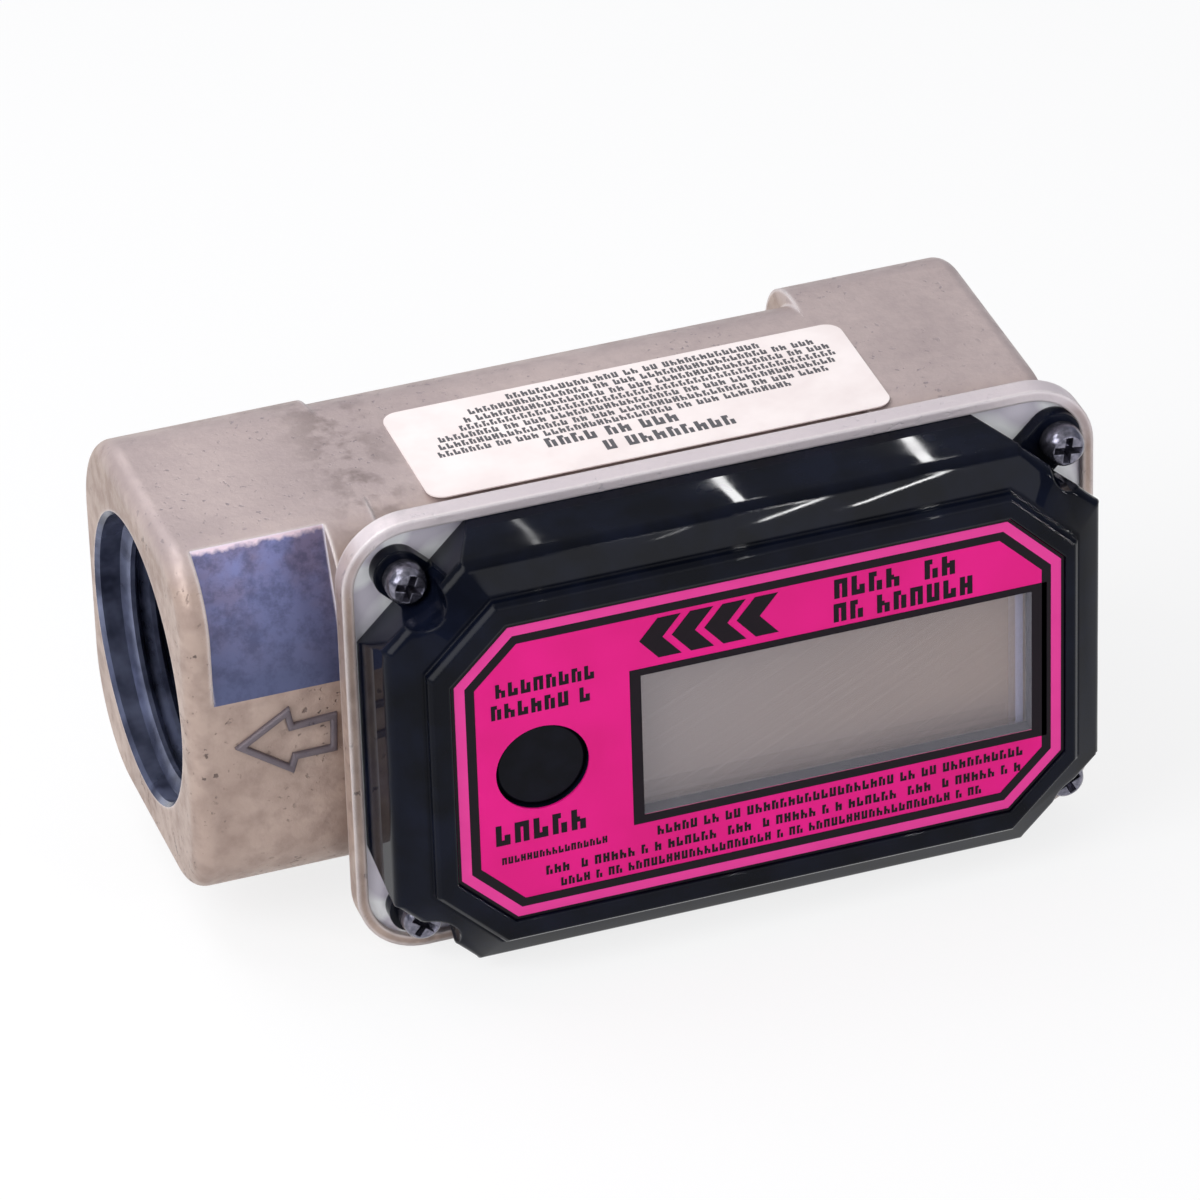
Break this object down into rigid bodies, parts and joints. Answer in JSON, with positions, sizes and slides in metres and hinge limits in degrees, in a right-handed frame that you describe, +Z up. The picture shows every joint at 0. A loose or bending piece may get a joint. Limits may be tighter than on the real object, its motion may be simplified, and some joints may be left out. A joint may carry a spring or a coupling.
{
  "type": "turbine flow meter",
  "caption": "In-line turbine flow meter: cast body with threaded ports, vaned supports, free-spinning rotor, and a battery display cover with a push button.",
  "frame": {"origin": "centre of the inlet port's mouth, on the flow axis", "axes": "+X out of the inlet port along the flow axis (flow runs towards -X), -Y is the side with the display, +Z up"},
  "size_m": [0.1053, 0.0581, 0.0566],
  "materials": {
    "cast_aluminium": "sand cast, machined on the flats, lands and bore",
    "support_plastic": "moulded",
    "spring_steel": "satin",
    "rotor_plastic": "moulded",
    "magnet": "plated",
    "bush_ceramic": "ground ceramic",
    "hard_steel": "ground",
    "bobbin_plastic": "moulded",
    "copper_wire": "enamelled wire",
    "tinned_pin": "tinned",
    "gasket_rubber": "moulded",
    "cover_black": "glossy moulded",
    "overlay_pink": "printed film",
    "window_clear": "clear",
    "screw_steel": "machined",
    "button_black": "moulded",
    "switch_plastic": "moulded",
    "board_green": "solder mask",
    "lcd_grey": "blank liquid crystal",
    "strip_rubber": "striped elastomer",
    "chip_black": "moulded",
    "cell_case": "sleeved",
    "label_paper": "printed film"
  },
  "bodies": {
    "casing": {"meter_body": "cast_aluminium", "inlet_support": "support_plastic", "outlet_support": "support_plastic", "inlet_retaining_ring": "spring_steel", "outlet_retaining_ring": "spring_steel", "inlet_thrust_washer": "bush_ceramic", "outlet_thrust_washer": "bush_ceramic", "rotor_shaft": "hard_steel", "pickup_bobbin": "bobbin_plastic", "pickup_coil": "copper_wire", "pickup_core": "hard_steel", "pickup_pins": "tinned_pin", "cover_gasket": "gasket_rubber", "display_cover": "cover_black", "face_overlay": "overlay_pink", "display_window": "window_clear", "cover_screws": "screw_steel", "button_switch": "switch_plastic", "circuit_board": "board_green", "board_screws": "screw_steel", "lcd_panel": "lcd_grey", "lcd_holder": "bobbin_plastic", "lcd_connector_strips": "strip_rubber", "microcontroller": "chip_black", "timing_crystal": "tinned_pin", "board_components": "chip_black", "battery_cells": "cell_case", "battery_contacts": "tinned_pin", "top_label": "label_paper"},
    "turbine": {"rotor": "rotor_plastic", "rotor_magnets": "magnet", "inlet_bearing": "bush_ceramic", "outlet_bearing": "bush_ceramic"},
    "push_button": {"button_cap": "button_black", "switch_plunger": "switch_plastic"}
  },
  "joints": [
    {"name": "turbine_spin", "type": "hinge", "parent": "casing", "child": "turbine", "pos_m": [-0.052, 0, 0], "axis": [1, 0, 0], "continuous": true},
    {"name": "button_press", "type": "slide", "parent": "casing", "child": "push_button", "axis": [0, 1, 0], "range_m": [0, 0.00035], "stiffness_N_per_m": 1500}
  ]
}
